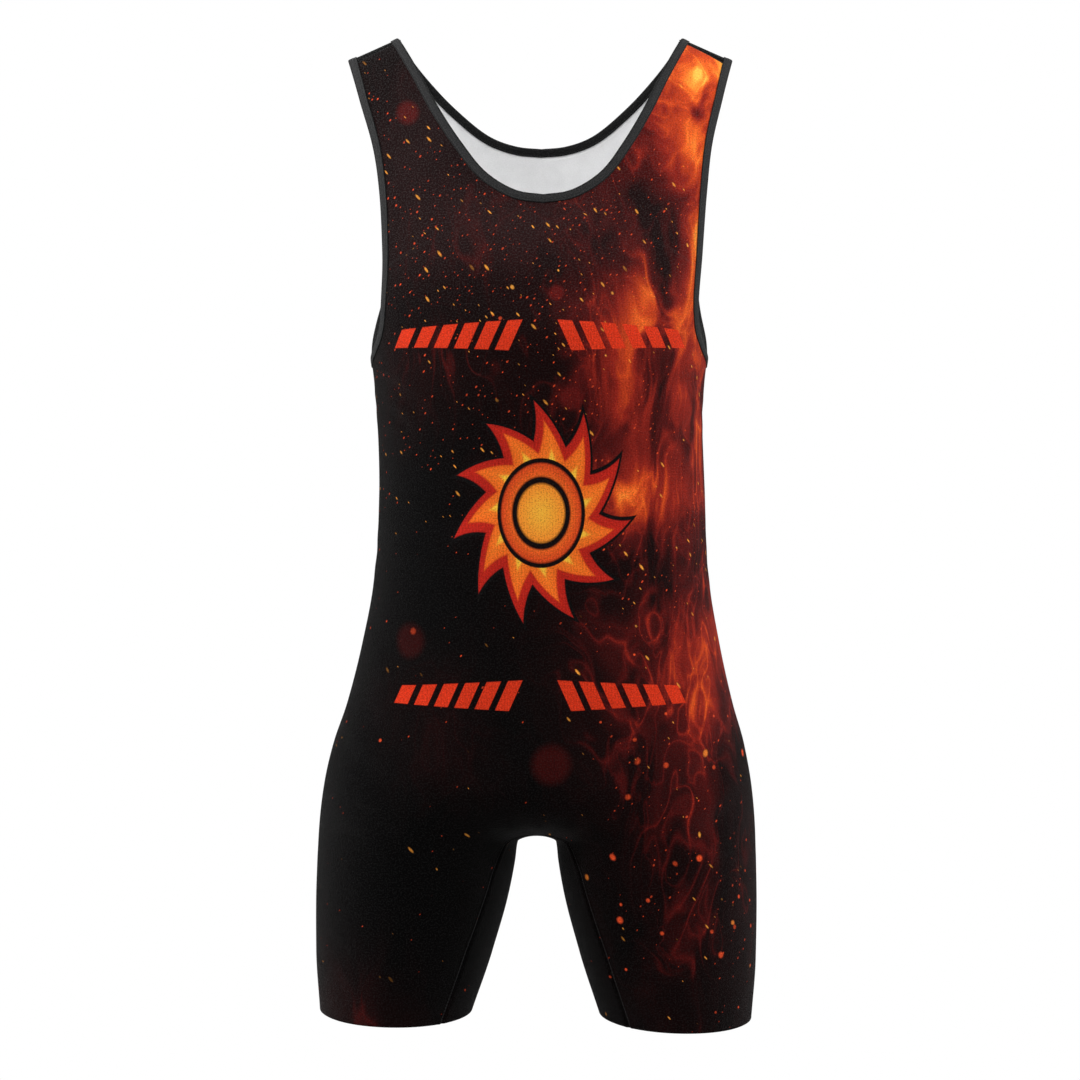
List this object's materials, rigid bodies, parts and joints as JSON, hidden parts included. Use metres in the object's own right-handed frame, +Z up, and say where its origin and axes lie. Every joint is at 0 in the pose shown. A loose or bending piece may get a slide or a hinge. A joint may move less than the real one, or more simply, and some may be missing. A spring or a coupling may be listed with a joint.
{
  "type": "wrestling singlet",
  "caption": "Close-fitting wrestling singlet with wide shoulder straps, a scooped neck, deep armholes and short legs, filled out as worn.",
  "frame": {"origin": "midway between the two shoulders, level with the inner corners of the shoulder straps", "axes": "+Z up, -Y to the wearer's front, +X to the wearer's left"},
  "size_m": [0.3764, 0.229, 0.8332],
  "materials": {
    "printed_knit": "smooth stretch knit with a soft sheen",
    "binding": "matt stretch tape"
  },
  "bodies": {
    "root": {"front_panel": "printed_knit", "back_panel": "printed_knit", "gusset": "printed_knit", "neck_binding_front": "binding", "neck_binding_back": "binding", "armhole_binding_left_front": "binding", "armhole_binding_left_back": "binding", "armhole_binding_right_front": "binding", "armhole_binding_right_back": "binding"}
  },
  "joints": []
}
